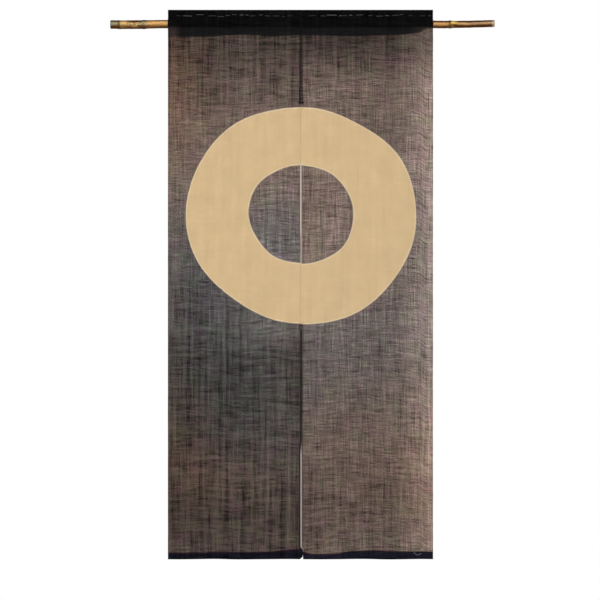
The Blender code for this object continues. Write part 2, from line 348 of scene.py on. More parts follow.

# Running stitches of the header: start, end and height in millimetres, and how much each shines,
# which is painted as a lighter thread
DASHES = table(
    Dash,
    (-331, -318, 21.5, 0.15), (-313, -289, 21.2, 0.75), (-278, -257, 24.6, 0.65),
    (-246, -226, 21.4, 0.35), (-222, -203, 19.6, 0.5), (-200, -188, 22.6, 0.55),
    (-183, -170, 24.6, 0.45), (-162, -152, 23.9, 1.0), (-147, -139, 23.4, 0.7),
    (-135, -121, 21.2, 0.45), (-111, -101, 23.9, 0.6), (-95, -82, 21.2, 0.45),
    (-73, -58, 21.0, 0.4), (-50, -43, 20.0, 0.4), (-36, -22, 21.5, 0.2), (20, 40, 21.8, 0.2),
    (52, 65, 21.2, 0.5), (68, 95, 23.4, 0.95), (101, 110, 21.8, 0.9), (112, 122, 22.0, 0.5),
    (128, 136, 23.0, 0.95), (146, 165, 23.8, 0.55), (178, 190, 22.4, 0.4), (199, 217, 20.8, 0.6),
    (223, 233, 22.0, 0.9), (241, 259, 22.6, 0.5), (262, 270, 25.0, 0.55), (286, 296, 22.0, 0.25),
    (314, 330, 21.5, 0.25), (338, 344, 21.5, 0.6),
)

# One stitch: share of its length, and height of the thread's middle in its own depths
STITCH_RISE = (
    (0.0, -0.5), (0.07, 0.1), (0.2, 0.45), (0.5, 0.55), (0.8, 0.45), (0.93, 0.1), (1.0, -0.5),
)

# Whipped seam: where it ends, and where the tack at the ring's foot is
SEAM_FOOT = -0.2075
LOWER_TACK = -0.798

# Loose end of the hem's thread on the right panel: x, z
THREAD_END = (
    (0.2990, -1.3960), (0.3000, -1.3995), (0.3015, -1.4028), (0.3045, -1.4055),
    (0.3085, -1.4068), (0.3125, -1.4066), (0.3160, -1.4050), (0.3185, -1.4025),
)


def metres(name, description, default):
    return FloatProperty(name=name, description=description, default=default, min=0.0,
                         precision=4, unit="LENGTH")


def tint(name, description, default):
    return FloatVectorProperty(name=name, description=description, default=default, size=3,
                               min=0.0, max=1.0, subtype="COLOR")


class NorenSizes(bpy.types.PropertyGroup):
    """Sizes of the curtain and of the view."""

    cloth: metres("Cloth", "Thickness of the hemp", 0.0005)
    pitch: metres("Thread pitch", "Distance from one thread to the next", 0.0013)
    ring_height: metres("Ring height", "Middle of the ring below the rod's axis", 0.5035)
    ring_radius: metres("Ring radius", "Mean radius of the ring's outer rim", 0.2953)
    hole_radius: metres("Hole radius", "Mean radius of the ring's inner rim", 0.1343)
    header_thread: metres("Header thread", "Width of the header's thread", 0.0021)
    seam_thread: metres("Seam thread", "Width of the seam's thread", 0.0021)
    hem_thread: metres("Hem thread", "Width of the hem's thread", 0.0008)
    view_width: metres("View width", "Width that the picture covers at the curtain", 1.59)
    view_distance: metres("View distance", "From the camera to the curtain", 6.0)
    floor_drop: metres("Floor", "Floor below the rod's axis", 1.98)


class NorenColours(bpy.types.PropertyGroup):
    """Colours of the curtain, as they look in plain white light."""

    ground: tint("Ground", "Dyed hemp against the light", (0.1385, 0.1046, 0.0887))
    # The heading and the hem are dyed dark, and painted darker still as shade of the light that the
    # doubled cloth holds back
    heading: tint("Heading", "Doubled cloth at the top", (0.0028, 0.0028, 0.0030))
    hem: tint("Hem", "Doubled cloth at the foot", (0.0060, 0.0060, 0.0100))
    corner: tint("Corner", "Looser cloth at the heading's lower corners", (0.030, 0.0205, 0.0190))
    undyed: tint("Ring", "Hemp that the dye left bare", (0.586, 0.430, 0.244))
    rim: tint("Rim", "Edge of the bare hemp", (0.680, 0.535, 0.360))
    header_thread: tint("Header thread", "Faded thread of the header", (0.070, 0.068, 0.066))
    seam_thread: tint("Seam thread", "Thread of the seam and the hems", (0.015, 0.0095, 0.0105))
    loose_thread: tint("Loose thread", "Thread end at the right hem", (0.26, 0.25, 0.25))
    floor: tint("Floor", "Plain floor", (0.86, 0.86, 0.85))


class Signal:
    """Output of a node. Sums and products of signals add Math nodes beside it."""

    def __init__(self, recipe, socket):
        self.recipe = recipe
        self.socket = socket

    def maths(self, operation, first, second=0.0):
        return self.recipe.add("ShaderNodeMath", {"operation": operation}, {0: first, 1: second})

    def __add__(self, other):
        return self.maths("ADD", self, other)

    def __sub__(self, other):
        return self.maths("SUBTRACT", self, other)

    def __rsub__(self, other):
        return self.maths("SUBTRACT", other, self)

    def __mul__(self, other):
        return self.maths("MULTIPLY", self, other)

    def __truediv__(self, other):
        return self.maths("DIVIDE", self, other)

    __radd__ = __add__
    __rmul__ = __mul__

    def floor(self):
        return self.maths("FLOOR", self)

    def absolute(self):
        return self.maths("ABSOLUTE", self)

    def root(self):
        return self.maths("SQRT", self)

    def at_most(self, limit):
        return self.maths("MINIMUM", self, limit)

    def at_least(self, limit):
        return self.maths("MAXIMUM", self, limit)


class Recipe:
    """A material that is put together node by node."""

    def __init__(self, name):
        self.material = bpy.data.materials.new(name)
        self.material.use_nodes = True
        self.tree = self.material.node_tree
        self.shader = self.tree.nodes["Principled BSDF"]

    def add(self, kind, settings=None, inputs=None, output=0):
        """Adds a node: its settings first, then what its sockets hold or are fed by."""
        node = self.tree.nodes.new(kind)
        for name, value in (settings or {}).items():
            setattr(node, name, value)
        for name, value in (inputs or {}).items():
            self.feed(node.inputs[name], value)
        return Signal(self, node.outputs[output])

    def feed(self, socket, value):
        if isinstance(value, Signal):
            self.tree.links.new(value.socket, socket)
        else:
            socket.default_value = value

    def finish(self, **sockets):
        """Feeds the shader's sockets, named with _ for a space."""
        for name, value in sockets.items():
            self.feed(self.shader.inputs[name.replace("_", " ")], value)
        return self.material

    def attribute(self, name, output="Color"):
        settings = {"attribute_type": "GEOMETRY", "attribute_name": name}
        return self.add("ShaderNodeAttribute", settings, output=output)

    def parts(self, vector):
        """The three numbers of a vector or a colour."""
        first = self.add("ShaderNodeSeparateXYZ", inputs={0: vector})
        return [Signal(self, output) for output in first.socket.node.outputs]

    def vector(self, x=0.0, y=0.0, z=0.0):
        return self.add("ShaderNodeCombineXYZ", inputs={0: x, 1: y, 2: z})

    def noise(self, x, y, z=0.0, detail=0.0):
        """Soft noise from 0 to 1, one lump for each unit of x, y and z."""
        inputs = {"Vector": self.vector(x, y, z), "Scale": 1.0, "Detail": detail,
                  "Roughness": 0.5}
        return self.add("ShaderNodeTexNoise", {"noise_dimensions": "3D"}, inputs)

    def drift(self, x, y, z=0.0, detail=0.0):
        """The same noise to either side of zero."""
        return self.noise(x, y, z, detail) - 0.5

    def ramp(self, value, low, high, start=0.0, end=1.0):
        """Eased from start, where the value is low, to end, where it is high."""
        inputs = {0: value, 1: low, 2: high, 3: start, 4: end}
        return self.add("ShaderNodeMapRange", {"interpolation_type": "SMOOTHSTEP"}, inputs)

    def mix(self, share, first, second):
        inputs = {0: share, 6: colour_of(first), 7: colour_of(second)}
        return self.add("ShaderNodeMix", {"data_type": "RGBA"}, inputs, output=2)

    def scale(self, vector, share):
        inputs = {0: vector, "Scale": share}
        return self.add("ShaderNodeVectorMath", {"operation": "SCALE"}, inputs)

    def multiply(self, first, second):
        return self.add("ShaderNodeVectorMath", {"operation": "MULTIPLY"}, {0: first, 1: second})

    def bump(self, height, distance, strength=1.0):
        inputs = {"Height": height, "Distance": distance, "Strength": strength}
        return self.add("ShaderNodeBump", inputs=inputs)


def colour_of(value):
    """A colour with its fourth number, or the signal as it is."""
    return value if isinstance(value, Signal) else (*value, 1.0)


def smoothstep(share):
    share = min(max(share, 0.0), 1.0)
    return share * share * (3.0 - 2.0 * share)


def read_level(levels, at):
    """Value of a table at one place, eased between its rows."""
    if at <= levels[0].at:
        return levels[0].value
    for low, high in zip(levels, levels[1:]):
        if at <= high.at:
            share = smoothstep((at - low.at) / (high.at - low.at))
            return between(low.value, high.value, share)
    return levels[-1].value


def between(low, high, share):
    """Part of the way from one number, or one group of numbers, to another."""
    if isinstance(low, tuple):
        return tuple(between(first, second, share) for first, second in zip(low, high))
    return low + (high - low) * share


def read_row(rows, at):
    """A table's row at one place, mixed from the rows on either side of it."""
    if at <= rows[0][0]:
        return rows[0]
    for low, high in zip(rows, rows[1:]):
        if at <= high[0]:
            share = (at - low[0]) / (high[0] - low[0])
            return type(low)(*between(low, high, share))
    return rows[-1]


def rod_radius(x):
    """Radius of the culm between its joints."""
    return read_level(CULM, x)


def arc(centre, radius, start, end, steps=ARC_STEPS):
    """Points (y, z) round a centre, angles from +Y towards +Z."""
    turn = (end - start) / steps
    return [
        (centre[0] + radius * math.cos(start + turn * step),
         centre[1] + radius * math.sin(start + turn * step))
        for step in range(steps + 1)
    ]


def read_path(path, steps):
    """Points evenly spaced along a path, both its ends among them."""
    lengths = [0.0]
    for start, end in zip(path, path[1:]):
        lengths.append(lengths[-1] + math.dist(start, end))
    points = []
    index = 1
    for step in range(steps + 1):
        goal = lengths[-1] * step / steps
        while index < len(path) - 1 and lengths[index] < goal:
            index += 1
        share = (goal - lengths[index - 1]) / (lengths[index] - lengths[index - 1])
        points.append(between(path[index - 1], path[index], share))
    return points


def sleeve_bends(x):
    """Radius of the cloth round the rod, and the upper and the lower fillet."""
    ring = rod_radius(x) + SLEEVE_ROOM
    bends = []
    for fillet in (UPPER_FILLET, LOWER_FILLET):
        reach = LAYER_HALF + fillet
        height = math.sqrt((ring + fillet) ** 2 - reach ** 2)
        bends.append((height, math.atan2(height, reach)))
    return ring, bends


def sleeve_round(x):
    """Middle of the front layer, from the top fold to where it leaves the rod."""
    ring, ((rise, upper_turn), (drop, lower_turn)) = sleeve_bends(x)
    path = read_path([(-LAYER_HALF, TOP_CENTRE), (-LAYER_HALF, rise)], HEADER_ROWS)
    centre = (-LAYER_HALF - UPPER_FILLET, rise)
    path += arc(centre, UPPER_FILLET, 0.0, -upper_turn, FILLET_ROWS)[1:]
    path += arc((0.0, 0.0), ring, math.pi - upper_turn, math.pi + lower_turn, ROUND_ROWS)[1:]
    return path


def sleeve_return(x, foot):
    """Middle of the front layer, from the rod back to the flat at the foot given."""
    drop, turn = sleeve_bends(x)[1][1]
    centre = (-LAYER_HALF - LOWER_FILLET, -drop)
    end = math.asin(max(foot + drop, 0.0) / LOWER_FILLET)
    path = arc(centre, LOWER_FILLET, turn, end)
    if foot < path[-1][1]:
        path.append((-LAYER_HALF, foot))
    return read_path(path, RETURN_ROWS)[1:]


def section(x, hem_edge):
    """Points (y, z) of the sheet at one x, from the back flap over to the hem."""
    front = sleeve_round(x)
    back = front + sleeve_return(x, read_level(FLAP_EDGE, x))
    front += sleeve_return(x, SLEEVE_FOOT)
    hem_top = max(level.value for level in hem_edge)
    points = [(-y, z) for y, z in reversed(back)]
    points += arc((0.0, TOP_CENTRE), LAYER_HALF, 0.0, math.pi, FOLD_ROWS)[1:]
    points += front[1:]
    points += read_path([points[-1], (-LAYER_HALF, hem_top)], BODY_ROWS)[1:]
    points += read_path([points[-1], (-LAYER_HALF, FOOT_CENTRE)], HEM_ROWS)[1:]
    points += arc((0.0, FOOT_CENTRE), LAYER_HALF, math.pi, 2 * math.pi, FOLD_ROWS)[1:]
    edge = (LAYER_HALF, read_level(hem_edge, x))
    points += read_path([points[-1], edge], HEM_ROWS)[1:]
    return points


def fold_depth(x, z, folds):
    """How far the cloth stands out of its plane, towards +Y."""
    depth = 0.0
    for fold in folds:
        drop = (fold.top - z) / FOLD_RISE
        offset = (x - fold.at - fold.lean * max(drop, 0.0)) / fold.across
        if abs(offset) < 1.0:
            depth += fold.depth * smoothstep(drop) * (0.5 + 0.5 * math.cos(math.pi * offset))
    return depth


def crease_depth(x, z, creases):
    """The slight creases: soft troughs and ridges with tapering ends."""
    depth = 0.0
    for crease in creases:
        turn = math.radians(crease.turn)
        dx, dz = x - crease.x, z - crease.z
        along = (dx * math.sin(turn) + dz * math.cos(turn)) / crease.length
        side = (dx * math.cos(turn) - dz * math.sin(turn)) / crease.across
        reach = along * along + side * side
        if reach < 9.0:
            depth += crease.depth * math.exp(-reach)
    return depth


def ripple(x, z):
    """Small unevenness of hand-woven cloth."""
    broad = noise.noise(Vector((x * 16.0, 0.0, z * 9.0)))
    fine = noise.noise(Vector((x * 55.0, 3.7, z * 38.0)))
    return 0.0011 * broad + 0.0003 * fine


def relief(x, z, panel):
    """How far the front layer of a panel stands out of its plane, towards +Y."""
    free = smoothstep((-0.030 - z) / 0.09)
    seam = smoothstep((z + 0.2125) / 0.010)
    uneven = crease_depth(x, z, panel.creases) + ripple(x, z)
    depth = fold_depth(x, z, panel.folds) + free * uneven
    depth *= smoothstep(abs(x) / INNER_FLAT)
    lap = smoothstep(1.0 - abs(x) / LAP_WIDTH)
    lap *= smoothstep((-0.800 - z) / 0.020) * smoothstep((z + 1.3945) / 0.006)
    pucker = 0.0003 * math.sin(z * 620.0 + math.sin(z * 90.0)) * smoothstep(1.0 - abs(x) / 0.016)
    return depth + panel.lap * lap + pucker * seam * free


def panel_sides(panel, z):
    """Outer and inner edge of a panel at one height."""
    wave = 0.0003 * noise.noise(Vector((panel.outer * 40.0, 1.3, z * 21.0)))
    return panel.outer + wave, read_level(panel.inner, z)


def wave_radius(radius, waves, angle):
    for wave in waves:
        radius += wave.cosine * math.cos(wave.turns * angle)
        radius += wave.sine * math.sin(wave.turns * angle)
    return radius


def ring_distance(x, z, sizes):
    """Distance from the ring's band: below zero in it, above zero outside."""
    drop = z + sizes.ring_height
    if x > 0.0:
        drop += SEAM_STEP * smoothstep(-drop / sizes.hole_radius)
    reach = math.hypot(x, drop)
    angle = math.atan2(drop, x)
    outer = wave_radius(sizes.ring_radius, OUTER_WAVES, angle)
    inner = wave_radius(sizes.hole_radius, INNER_WAVES, angle)
    return max(reach - outer, inner - reach)


def dye_colour(x, z, panel, ground):
    """Broad colour of the dyed cloth: its tone down the panel, and its patches."""
    tone = read_level(panel.tone, z)
    warmth = leaf = 0.0
    for patch in panel.patches:
        reach = ((x - patch.x) / patch.across) ** 2 + ((z - patch.z) / patch.down) ** 2
        if reach < 6.0:
            share = math.exp(-reach)
            tone *= 1.0 + patch.tone * share
            warmth += patch.warmth * share
            leaf += patch.leaf * share
    tone *= 1.0 + SELVEDGE_GLOW * smoothstep((x - SELVEDGE_START) / SELVEDGE_REACH)
    tone *= 1.0 + LAST_GLOW * smoothstep((x - LAST_THREADS) / 0.006)
    red, green, blue = ground
    red *= tone * math.exp(0.20 * warmth - 0.05 * leaf)
    blue *= tone * math.exp(-0.16 * warmth - 0.08 * leaf)
    return red, green * tone, blue, smoothstep((green * tone - DEEP_DYE) / PALE_DYE)


def plain_weave(warp_at, weft_at, pitch):
    """Number of the warp and the weft thread, how low its side lies, and how wide the gap is. The
    low sides are also painted darker as shade.
    """
    warp_turns = warp_at / pitch
    weft_turns = weft_at / pitch
    warp_number = warp_turns.floor()
    weft_number = weft_turns.floor()

    # Each thread goes over and under, and light comes through between four of them
    beside_warp = ((warp_turns - warp_number) * 2.0 - 1.0).absolute()
    beside_weft = ((weft_turns - weft_number) * 2.0 - 1.0).absolute()
    count = (warp_number + weft_number) * 0.5
    warp_on_top = (count - count.floor()) * 2.0
    round_warp = beside_warp * beside_warp
    round_weft = beside_weft * beside_weft
    hollow = round_warp * warp_on_top + round_weft * (1.0 - warp_on_top)
    return warp_number, weft_number, hollow, round_warp * round_weft * 9.0


def turned_cloth(recipe, colours, threads, doubled):
    """Dark colour of the header, the sleeve and the hems, where two layers lie together: their dark
    dye, painted darker as shade of the light that the doubled cloth and the rod hold back.
    """
    side, _, height = recipe.parts(recipe.add("ShaderNodeTexCoord", output="Object"))
    at_hem = recipe.ramp(height, -0.9, -0.8, 1.0, 0.0)
    # Over the rod the heading keeps its darkest colour, painted shade of the rod behind it; below
    # the rod the doubled cloth is lighter
    below_rod = recipe.ramp(height, -0.012, -0.006, 1.0, 0.0) * (1.0 - at_hem)
    dark = recipe.mix(at_hem, colours.heading, colours.hem)
    dark = recipe.scale(dark, below_rod * 1.6 + (threads + 1.0).at_least(0.3))
    right_hem = at_hem * recipe.ramp(side, -0.001, 0.001)
    foot = recipe.ramp(height, HEM_FOOT + 0.0025, HEM_FOOT + 0.0050, 0.40, 1.0)
    dark = recipe.scale(dark, (right_hem * 0.55 + 1.0) * foot)
    left_corner = recipe.ramp(side, -0.316, -0.340) * below_rod
    corner = recipe.scale(colours.corner, (threads * 0.5 + 1.0).at_least(0.3))
    dark = recipe.mix(left_corner, dark, corner)
    right_corner = recipe.ramp(side, 0.285, 0.330) * below_rod
    dark = recipe.mix(right_corner * 0.75, dark, colours.corner)
    turned_edge = at_hem * recipe.ramp(doubled, 0.0034, 0.0010)
    return recipe.mix(turned_edge * 0.7, dark, (0.022, 0.0085, 0.014))


def hemp_material(sizes, colours):
    """Sheer hand-woven hemp: uneven threads both ways, dye, the bare ring, dark turnings."""
    recipe = Recipe("hemp")
    uv = recipe.add("ShaderNodeUVMap", {"uv_map": "weave"})
    across, along, _ = recipe.parts(uv)
    wander = recipe.drift(across * 11.0, along * 13.0, 2.0, detail=1.0)
    sway = recipe.drift(across * 9.0, along * 5.0, 7.0, detail=1.0)
    weft_at = along + wander * 0.010
    warp_at = across + sway * 0.004
    warp_number, weft_number, hollow, opening = plain_weave(warp_at, weft_at, sizes.pitch)

    # Each thread has its own uneven strength along its length
    warp = recipe.drift(warp_number * 7.31, along * 15.0, 1.0)
    weft = recipe.drift(weft_number * 5.17, across * 32.0, 5.0)
    warp_band = recipe.drift(warp_at * 110.0, along * 2.4, 3.0, detail=1.0)
    weft_band = recipe.drift(weft_at * 100.0, across * 9.0, 9.0, detail=1.0)
    slub = recipe.noise((weft_at * 400.0).floor() * 3.3, across * 62.0, 11.0)
    dark_slub = recipe.ramp(slub, 0.62, 0.74)
    pale_slub = recipe.ramp(slub, 0.36, 0.26)
    pale_pick = recipe.ramp(recipe.noise(weft_number * 9.7, across * 6.0, 21.0), 0.66, 0.80)
    speck = recipe.drift(across * 240.0, along * 240.0, 4.0, detail=1.0)
    mottle = recipe.drift(across * 24.0, along * 21.0, 6.0, detail=2.0)
    pale = recipe.attribute("dye", "Alpha")
    warp_band *= 2.1 - pale * 1.45
    weft_band *= 1.55 - pale * 0.72
    threads = warp * 1.75 + weft * 1.95 + warp_band + weft_band + pale_pick * 0.30
    slubs = dark_slub * 0.26 - pale_slub * 0.20
    uneven = (threads + speck * 0.85 - slubs) * 0.86 + mottle * (0.95 - pale * 0.50)
    tone = (uneven + 1.0).at_least(0.15)

    # Blue-black dye over brown hemp never takes evenly
    green = recipe.drift(across * 17.0, along * 19.0, 8.0, detail=1.0) * (1.6 - pale * 0.6)
    violet = recipe.drift(across * 30.0, along * 26.0, 12.0, detail=1.0) * (1.5 - pale * 0.5)
    cast = recipe.vector(violet * 0.22 + 1.0, green * 0.20 - violet * 0.10 + 1.0,
                         violet * 0.26 + 1.0)
    ground = recipe.multiply(recipe.scale(recipe.attribute("dye"), tone), cast)

    # The bare ring, with a paler rim and darker dye just outside it
    jitter = warp * 0.0022 + weft * 0.0022
    ring = recipe.attribute("ring", "Fac") + jitter
    outside = recipe.ramp(ring, 0.0006, 0.0030, 0.93, 1.0)
    inset = recipe.attribute("inset", "Fac") + weft * 0.3
    beside = recipe.ramp(inset, 1.4, 2.8, 0.68, 1.0)
    ground = recipe.scale(ground, outside * beside)
    bare_band = recipe.drift(across * 70.0, along * 3.0, 14.0, detail=1.0)
    bare_tone = threads * 0.055 + bare_band * 0.09 + mottle * 0.17 + 1.0
    bare = recipe.mix(recipe.ramp(ring, -0.0042, -0.0010), colours.undyed, colours.rim)
    bare = recipe.scale(bare, bare_tone)
    cloth = recipe.mix(recipe.ramp(ring, -0.0016, 0.0016), bare, ground)

    # A strip in its own colour along the inner edge
    strip_share = recipe.attribute("strip", "Alpha") * recipe.ramp(inset, 0.88, 1.12, 1.0, 0.0)
    cloth = recipe.mix(strip_share, cloth, recipe.attribute("strip"))

    # Doubled cloth lets no light through; its dark colour is partly painted shade, and the single
    # cloth just beside it is painted darker as its shadow
    doubled = recipe.attribute("doubled", "Fac") + weft * 0.0010
    turned = recipe.ramp(doubled, -0.0006, 0.0008)
    cloth = recipe.scale(cloth, recipe.ramp(doubled, -0.0028, -0.0006, 1.0, 0.75))
    cloth = recipe.mix(turned, cloth, turned_cloth(recipe, colours, threads, doubled))

    # White light through the gaps makes up part of each colour, and the threads the rest
    _, _, blue = recipe.parts(cloth)
    gaps = (blue * 0.62).at_most(0.085) * (1.0 - turned * 0.85)
    threads_colour = recipe.add("ShaderNodeVectorMath", {"operation": "SUBTRACT"},
                                {0: cloth, 1: recipe.vector(gaps, gaps, gaps)})
    # The low sides of the round threads are painted darker as shade
    base = recipe.scale(threads_colour, 1.30 - hollow * 0.36)
    clear = (gaps * opening).at_most(0.9)

    height_map = warp + weft + speck * 0.8 - hollow * 0.9
    return recipe.finish(Base_Color=base, Alpha=1.0 - clear.root(), Roughness=0.88,
                         Specular_IOR_Level=0.02, Sheen_Weight=0.005,
                         Normal=recipe.bump(height_map, 0.0006, 0.5))


def bamboo_material():
    """Old smoked bamboo: golden skin with blotches and fine grain, painted shade as dark upper and
    lower lines, and a painted highlight as the pale band between them.
    """
    recipe = Recipe("bamboo")
    uv = recipe.add("ShaderNodeUVMap", {"uv_map": "culm"})
    along, round_at, _ = recipe.parts(uv)
    grain = recipe.drift(along * 14.0, round_at * 900.0, 1.0, detail=2.0)
    streak = recipe.drift(along * 22.0, round_at * 260.0, 4.0, detail=1.0)
    blotch = recipe.noise(along * 160.0, round_at * 190.0, 7.0, detail=2.0)
    cloud = recipe.drift(along * 60.0, round_at * 110.0, 2.0, detail=2.0)
    skin = recipe.attribute("skin")
    blotched = recipe.attribute("skin", "Alpha") * recipe.ramp(blotch, 0.45, 0.58)
    tone = (grain * 0.45 + streak * 0.55 + cloud * 0.50 + 1.0).at_least(0.2)
    skin = recipe.scale(skin, tone)
    skin = recipe.mix(blotched * 0.9, skin, (0.105, 0.060, 0.020))
    # Painted shade and highlight: by the height on its side, the skin is painted dark along its
    # upper and lower lines and pale on the band between them
    side = recipe.attribute("side", "Fac") + streak * 0.18 + cloud * 0.12
    above = side - recipe.attribute("gleam", "Fac")
    fall = recipe.attribute("fall", "Fac")
    over = recipe.ramp(above, 0.06, 0.50)
    under = recipe.ramp(0.0 - above, 0.0, fall)
    lines = over.at_least(under) * recipe.attribute("smoke", "Fac")
    skin = recipe.mix(lines, skin, (0.062, 0.018, 0.001))
    cut = recipe.attribute("cut", "Fac")
    skin = recipe.mix(cut, skin, recipe.mix(grain + 0.6, (0.20, 0.13, 0.06), (0.36, 0.27, 0.15)))
    roughness = recipe.ramp(blotch + streak * 0.4, 0.3, 0.8, 0.30, 0.52)
    height_map = grain * 0.6 + streak + cloud * 0.7
    return recipe.finish(Base_Color=skin, Roughness=roughness, Specular_IOR_Level=0.05,
                         Coat_Weight=(1.0 - lines) * 0.03, Coat_Roughness=0.25,
                         Normal=recipe.bump(height_map, 0.0004, 0.6))


def thread_material(name, tint_of):
    """Spun thread: its tint varies a little, and each stitch has its own strength, which on the
    header's front is a painted highlight for how much the stitch shines.
    """
    recipe = Recipe(name)
    x, y, z = recipe.parts(recipe.add("ShaderNodeTexCoord", output="Object"))
    twist = recipe.drift((x + z) * 900.0, (x - z) * 260.0, y * 400.0, detail=1.0)
    shine_and_tone = recipe.attribute("shine_and_tone", "Fac")
    colour = recipe.scale(recipe.vector(*tint_of), (twist * 0.9 + 1.0) * shine_and_tone)
    return recipe.finish(Base_Color=colour, Roughness=0.85, Specular_IOR_Level=0.08,
                         Normal=recipe.bump(twist, 0.0003, 0.8))


def floor_material(colours):
    recipe = Recipe("floor")
    x, y, _ = recipe.parts(recipe.add("ShaderNodeTexCoord", output="Object"))
    cloud = recipe.drift(x * 3.0, y * 3.0, detail=3.0)
    colour = recipe.scale(recipe.vector(*colours.floor), cloud * 0.03 + 1.0)
    return recipe.finish(Base_Color=colour, Roughness=0.7)


def new_object(name, bm, material):
    mesh = bpy.data.meshes.new(name)
    bm.to_mesh(mesh)
    bm.free()
    mesh.materials.append(material)
    mesh.shade_smooth()
    obj = bpy.data.objects.new(name, mesh)
    bpy.context.scene.collection.objects.link(obj)
    return obj


def number_layers(bm, *names):
    """Layers that hold one number for each point of a mesh."""
    return [bm.verts.layers.float.new(name) for name in names]


def dress(piece):
    """Hangs a piece on the one body; its finish already sits in its one slot."""
    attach(piece, "root")
    return piece


def build_panel(panel, sizes, colours, material):
    """One length of cloth from a grid laid along its section, then thickened."""
    outer, inner = panel_sides(panel, 0.0)
    sections = []
    travels = []
    for column in range(COLUMNS + 1):
        points = section(outer + (inner - outer) * column / COLUMNS, panel.hem_edge)
        travel = [0.0]
        for start, end in zip(points, points[1:]):
            travel.append(travel[-1] + math.dist(start, end))
        sections.append(points)
        travels.append(travel)
    rows = len(sections[0]) - 1
    bm = bmesh.new()
    bmesh.ops.create_grid(bm, x_segments=COLUMNS, y_segments=rows, size=0.5)
    weave = bm.loops.layers.uv.new("weave")
    dye = bm.verts.layers.float_color.new("dye")
    strip = bm.verts.layers.float_color.new("strip")
    ring, inset, doubled = number_layers(bm, "ring", "inset", "doubled")
    for vert in bm.verts:
        column = round((vert.co.x + 0.5) * COLUMNS)
        row = round((vert.co.y + 0.5) * rows)
        y, z = sections[column][row]
        outer, inner = panel_sides(panel, z)
        x = outer + (inner - outer) * column / COLUMNS
        for loop in vert.link_loops:
            loop[weave].uv = (x, travels[column][row])
        vert[dye] = dye_colour(x, z, panel, colours.ground)
        edge = read_row(panel.strips, z)
        vert[strip] = (*edge.colour, edge.strength)
        vert[ring] = ring_distance(x, z, sizes)
        vert[inset] = abs(x - inner) / edge.width
        vert[doubled] = max(z - read_level(FLAP_EDGE, x), read_level(panel.hem_edge, x) - z)
        vert.co = (x, y + relief(x, z, panel), z)
    bmesh.ops.recalc_face_normals(bm, faces=bm.faces)
    piece = new_object(panel.piece, bm, material)
    thicken = piece.modifiers.new("cloth", "SOLIDIFY")
    thicken.thickness = sizes.cloth
    thicken.offset = 0.0
    thicken.use_even_offset = True
    dress(piece)
    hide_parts(panel.node)


def ridge_height(x):
    """Height of the culm's ridges at one place along it."""
    for joint in JOINTS:
        along = x - joint.x
        if RIDGE_PROFILE[0].at <= along <= RIDGE_PROFILE[-1].at:
            return joint.ridge * read_level(RIDGE_PROFILE, along)
    return 0.0


def rod_stations():
    """Places along the culm: close where it shows and at its joints, wide in the sleeve."""
    places = []
    x = ROD_LEFT + 0.0016
    while x < ROD_RIGHT - 0.0016:
        places.append(x)
        if min(abs(x - joint.x) for joint in JOINTS) < 0.010:
            x += JOINT_STEP
        elif x < -0.34 or x > 0.335:
            x += SHOWN_STEP
        else:
            x += HIDDEN_STEP
    return places


def cut_end(end, way, wall):
    """Outline (x, radius) of a cut end of the culm, from its skin into the bore and to the wall."""
    radius = rod_radius(end)
    bore = BORE_SHARE * radius
    return [(end - way * CUT_SOFT / 3, radius - CUT_SOFT / 3), (end, radius - CUT_SOFT),
            (end, bore + CUT_SOFT / 2), (end - way * CUT_SOFT / 2, bore), (wall, bore), (wall, 0.0)]


def build_rod(material):
    """Bamboo culm: its outline spun round the X axis, then made slightly uneven."""
    outline = cut_end(ROD_LEFT, -1, JOINTS[0].x - DIAPHRAGM / 2)[::-1]
    outline += [(x, rod_radius(x) + ridge_height(x)) for x in rod_stations()]
    outline += cut_end(ROD_RIGHT, 1, JOINTS[-1].x + DIAPHRAGM / 2)
    bm = bmesh.new()
    verts = [bm.verts.new((x, 0.0, radius)) for x, radius in outline]
    edges = [bm.edges.new(pair) for pair in zip(verts, verts[1:])]
    bmesh.ops.spin(bm, geom=verts + edges, cent=(0, 0, 0), axis=(1, 0, 0), angle=2 * math.pi,
                   steps=ROD_SIDES, use_merge=True)
    bmesh.ops.remove_doubles(bm, verts=bm.verts, dist=0.00001)
    bmesh.ops.recalc_face_normals(bm, faces=bm.faces)
    culm = bm.loops.layers.uv.new("culm")
    skin = bm.verts.layers.float_color.new("skin")
    side, cut, smoke, gleam, fall = number_layers(bm, "side", "cut", "smoke", "gleam", "fall")
    for vert in bm.verts:
        x, y, z = vert.co
        reach = math.hypot(y, z)
        angle = math.atan2(z, y)
        look = read_row(SKIN, x)
        vert[skin] = (*look.colour, look.mottle)
        # Strength of the painted shade lines, height of the painted highlight between them, and
        # where the shade below it begins
        vert[smoke], vert[gleam], vert[fall] = look.smoke, look.gleam, look.fall
        vert[side] = z / max(reach, 0.001)
        on_skin = reach > 0.90 * rod_radius(x)
        vert[cut] = 0.0 if on_skin else 1.0
        if on_skin:
            lump = noise.noise(Vector((x * 60.0, y * 90.0, z * 90.0)))
            groove = noise.noise(Vector((x * 9.0, math.cos(angle) * 3.0, math.sin(angle) * 3.0)))
            shows = smoothstep((abs(x - 0.004) - 0.352) / 0.01)
            push = (0.00035 * lump + 0.0003 * groove) * shows - 0.0001
            vert.co.y += push * math.cos(angle)
            vert.co.z += push * math.sin(angle)
        vert.co.z += read_level(BEND, x)
        for loop in vert.link_loops:
            loop[culm].uv = (x, angle * UV_RADIUS)
    # The back of the UV map closes on itself: its last column is taken a full turn on
    for face in bm.faces:
        around = [loop[culm].uv.y for loop in face.loops]
        if max(around) - min(around) > math.pi * UV_RADIUS:
            for loop in face.loops:
                if loop[culm].uv.y < 0.0:
                    loop[culm].uv.y += 2 * math.pi * UV_RADIUS
    piece = dress(new_object("bamboo_rod", bm, material))
    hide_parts("rod")


